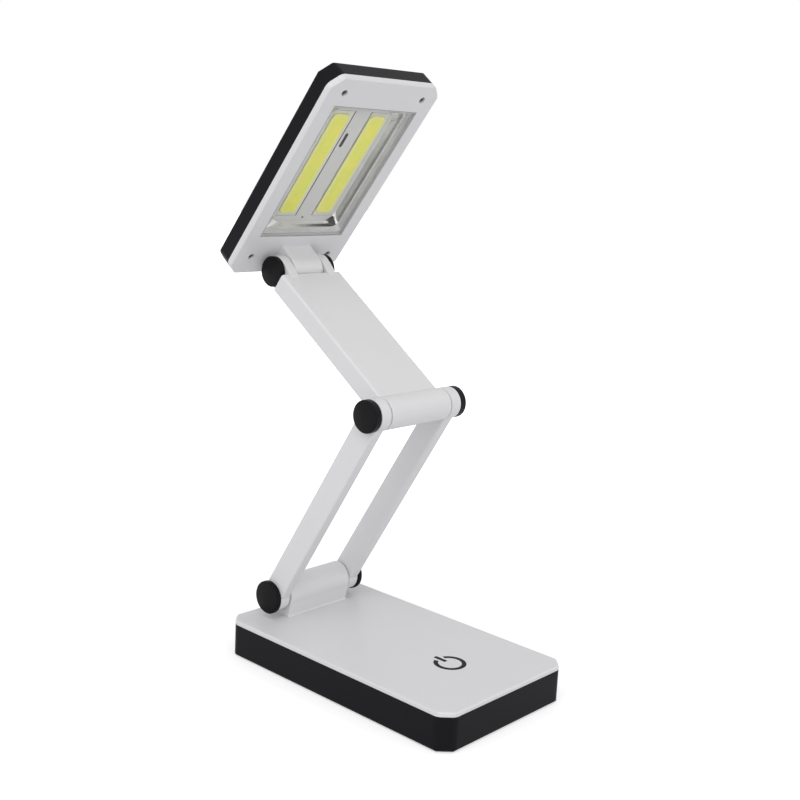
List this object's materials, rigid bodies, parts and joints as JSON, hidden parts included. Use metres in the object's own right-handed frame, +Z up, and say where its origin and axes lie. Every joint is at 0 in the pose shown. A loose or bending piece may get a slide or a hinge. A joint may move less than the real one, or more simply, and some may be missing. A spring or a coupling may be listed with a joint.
{
  "type": "accordion desk lamp",
  "caption": "Folding desk lamp: flat battery base with a touch symbol, a two-bar lower arm, a slab upper arm and a flat head with light strips behind a window.",
  "frame": {"origin": "middle of the bounding box seen from above, on the surface that the feet stand on", "axes": "+X along the hinge axes, +Y towards the hinge end of the base, +Z up; the touch symbol is at the -Y end and the head's window looks down towards -Y"},
  "size_m": [0.0826, 0.1638, 0.2766],
  "materials": {
    "black_shell": "satin moulded black plastic",
    "white_shell": "glossy moulded white plastic",
    "cap_black": "smooth satin black plastic",
    "door_black": "moulded black plastic",
    "symbol_ink": "dark inlay, flush and dull",
    "screw_steel": "zinc-plated steel",
    "screw_dark": "blackened steel",
    "bolt_steel": "plain steel",
    "washer_nylon": "natural nylon",
    "cell_jacket": "plain metal jacket with no print",
    "contact_plate": "nickel-plated spring steel",
    "board_green": "varnished circuit board",
    "pad_foam": "conductive foam",
    "foot_rubber": "matt rubber",
    "lead_red": "insulated two-core lead",
    "lens_clear": "clear polished acrylic",
    "tray_grey": "pale grey reflector plastic",
    "spreader_alu": "plain aluminium sheet",
    "led_board": "white-masked aluminium board",
    "led_yellow": "yellow phosphor silicone"
  },
  "bodies": {
    "base": {"base_shell": "black_shell", "base_cover": "white_shell", "battery_door": "door_black", "door_screw": "screw_steel", "battery_cell_1": "cell_jacket", "battery_cell_2": "cell_jacket", "battery_cell_3": "cell_jacket", "plus_contacts": "contact_plate", "minus_contacts": "contact_plate", "touch_board": "board_green", "touch_pad": "pad_foam", "power_symbol": "symbol_ink", "hinge_block": "white_shell", "hinge_screws": "screw_steel", "rubber_feet": "foot_rubber", "base_screws": "screw_steel", "base_washers": "washer_nylon"},
    "lower_arm": {"base_bolt": "bolt_steel", "base_nut": "bolt_steel", "base_cap_left": "cap_black", "base_cap_right": "cap_black", "lower_bar_left": "white_shell", "lower_bar_right": "white_shell", "lower_lead": "lead_red", "elbow_bolt": "bolt_steel", "elbow_nut": "bolt_steel", "elbow_cap_left": "cap_black", "elbow_cap_right": "cap_black"},
    "upper_arm": {"elbow_washers": "washer_nylon", "upper_arm": "white_shell", "upper_arm_cover": "white_shell", "upper_cover_screws": "screw_steel", "upper_lead": "lead_red", "head_bolt": "bolt_steel", "head_nut": "bolt_steel", "head_cap_left": "cap_black", "head_cap_right": "cap_black"},
    "head": {"head_washers": "washer_nylon", "head_front": "white_shell", "head_back": "black_shell", "window_lens": "lens_clear", "reflector_tray": "tray_grey", "heat_spreader": "spreader_alu", "light_board_left": "led_board", "light_board_right": "led_board", "light_strip_left": "led_yellow", "light_strip_right": "led_yellow", "head_screws": "screw_dark"}
  },
  "joints": [
    {"name": "base_hinge", "type": "hinge", "parent": "base", "child": "lower_arm", "pos_m": [0, 0.04501, 0.0286], "axis": [1, 0, 0], "range_deg": [-40, 58.6]},
    {"name": "elbow_hinge", "type": "hinge", "parent": "lower_arm", "child": "upper_arm", "pos_m": [0, -0.01627, 0.12898], "axis": [1, 0, 0], "range_deg": [-93.6, 50]},
    {"name": "head_hinge", "type": "hinge", "parent": "upper_arm", "child": "head", "pos_m": [0, 0.06098, 0.18307], "axis": [1, 0, 0], "range_deg": [-47.5, 87]}
  ],
  "couplings": [
    {"joint": "head_hinge", "follows": "elbow_hinge", "ratio": -0.92949}
  ]
}
